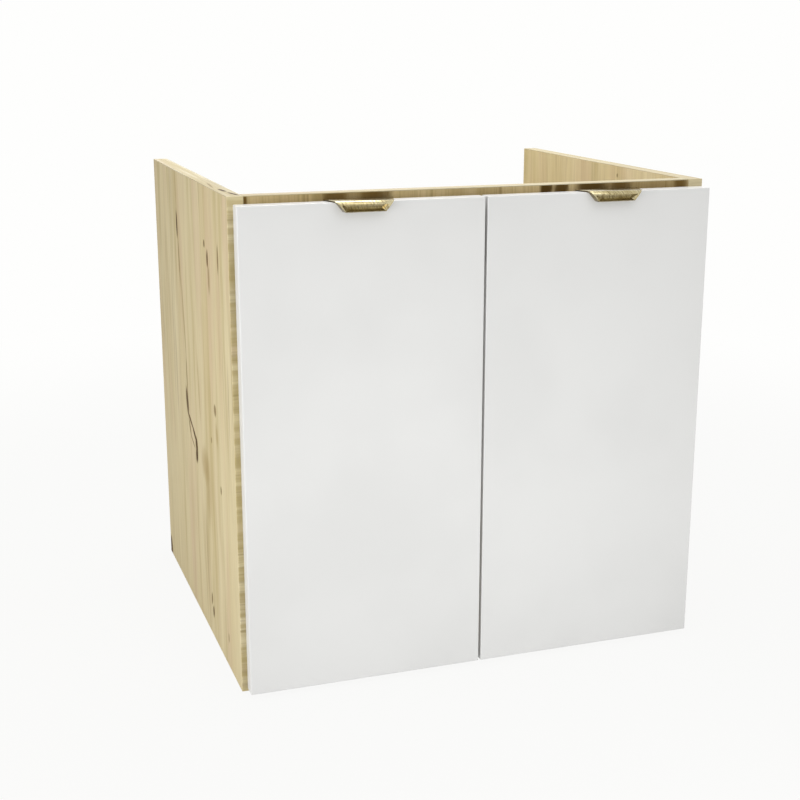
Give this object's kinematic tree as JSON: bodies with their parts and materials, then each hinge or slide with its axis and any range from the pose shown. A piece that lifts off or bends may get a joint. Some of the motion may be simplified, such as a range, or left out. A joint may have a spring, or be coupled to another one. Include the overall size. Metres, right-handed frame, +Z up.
{
  "type": "sink base cabinet",
  "caption": "Kitchen base unit for a sink: oak-decor carcass open at top and back, white slab doors on cup hinges with brass-tone edge pulls.",
  "frame": {"origin": "at floor level under the middle of the whole cabinet, its doors and handles included", "axes": "+X to the right side seen from the front, +Y from the doors to the wall, +Z up"},
  "size_m": [0.6, 0.5364, 0.6],
  "materials": {
    "oak_decor_board": "melamine oak decor, matt, fine grain",
    "oak_edge_band": "oak decor edge band, satin",
    "white_gloss_door": "white high-gloss lacquer on fibreboard",
    "brushed_brass_pull": "brushed, brass-tone anodised",
    "nickel_plated_hinge": "nickel plated pressed steel",
    "zinc_plated_screw": "zinc plated",
    "zinc_cam": "cast zinc, dull",
    "beech_dowel": "raw beech",
    "plastic_cover_cap": "matt plastic in the board's colour",
    "clear_bumper": "soft clear polyurethane"
  },
  "bodies": {
    "carcass": {"bottom_panel": "oak_decor_board", "bottom_panel_front_band": "oak_edge_band", "cam_bolts": "zinc_plated_screw", "cam_cover_caps": "plastic_cover_cap", "cam_discs": "zinc_cam", "front_rail_top_band": "oak_edge_band", "front_top_rail": "oak_decor_board", "hinge_arm_screws": "zinc_plated_screw", "hinge_plate_screws": "zinc_plated_screw", "left_lower_hinge_arm": "nickel_plated_hinge", "left_lower_hinge_plate": "nickel_plated_hinge", "left_side_front_band": "oak_edge_band", "left_side_panel": "oak_decor_board", "left_side_top_band": "oak_edge_band", "left_upper_hinge_arm": "nickel_plated_hinge", "left_upper_hinge_plate": "nickel_plated_hinge", "rear_rail": "oak_decor_board", "rear_rail_top_band": "oak_edge_band", "right_lower_hinge_arm": "nickel_plated_hinge", "right_lower_hinge_plate": "nickel_plated_hinge", "right_side_front_band": "oak_edge_band", "right_side_panel": "oak_decor_board", "right_side_top_band": "oak_edge_band", "right_upper_hinge_arm": "nickel_plated_hinge", "right_upper_hinge_plate": "nickel_plated_hinge", "wooden_dowels": "beech_dowel"},
    "left_door": {"left_cup_screws": "zinc_plated_screw", "left_door_bumpers": "clear_bumper", "left_door_panel": "white_gloss_door", "left_handle": "brushed_brass_pull", "left_handle_screws": "zinc_plated_screw", "left_lower_hinge_cup": "nickel_plated_hinge", "left_lower_hinge_pin": "zinc_plated_screw", "left_upper_hinge_cup": "nickel_plated_hinge", "left_upper_hinge_pin": "zinc_plated_screw"},
    "right_door": {"right_cup_screws": "zinc_plated_screw", "right_door_bumpers": "clear_bumper", "right_door_panel": "white_gloss_door", "right_handle": "brushed_brass_pull", "right_handle_screws": "zinc_plated_screw", "right_lower_hinge_cup": "nickel_plated_hinge", "right_lower_hinge_pin": "zinc_plated_screw", "right_upper_hinge_cup": "nickel_plated_hinge", "right_upper_hinge_pin": "zinc_plated_screw"}
  },
  "joints": [
    {"name": "left_door_swing", "type": "hinge", "parent": "carcass", "child": "left_door", "pos_m": [-0.2845, -0.24575, 0.2995], "axis": [0, 0, -1], "range_deg": [0, 105]},
    {"name": "right_door_swing", "type": "hinge", "parent": "carcass", "child": "right_door", "pos_m": [0.2845, -0.24575, 0.2995], "axis": [0, 0, 1], "range_deg": [0, 105]}
  ]
}
